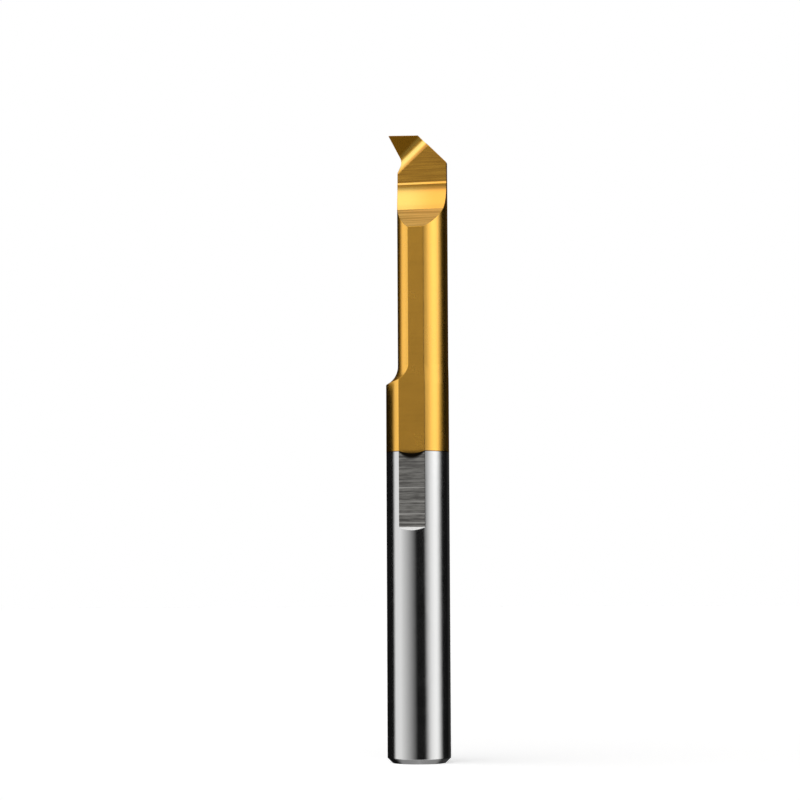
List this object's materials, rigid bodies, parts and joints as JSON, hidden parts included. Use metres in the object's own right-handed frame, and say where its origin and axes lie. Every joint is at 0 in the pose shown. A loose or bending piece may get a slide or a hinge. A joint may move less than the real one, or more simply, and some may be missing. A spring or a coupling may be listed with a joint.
{
  "type": "miniature boring bar",
  "caption": "One-piece carbide boring bar for small bores, with a coated single-point head, relieved neck and round shank with a clamping flat.",
  "frame": {"origin": "centre of the shank's rear end face, which the tool stands on", "axes": "+Z along the tool axis to the cutting end, rake face and clamping flat looking along -Y, cutting nose on the -X side"},
  "size_m": [0.005, 0.005, 0.05],
  "materials": {
    "carbide": "ground cemented carbide, bare grey on the rear of the shank and gold nitride coating from mid-length to the cutting end"
  },
  "bodies": {
    "root": {"boring_bar": "carbide"}
  },
  "joints": []
}
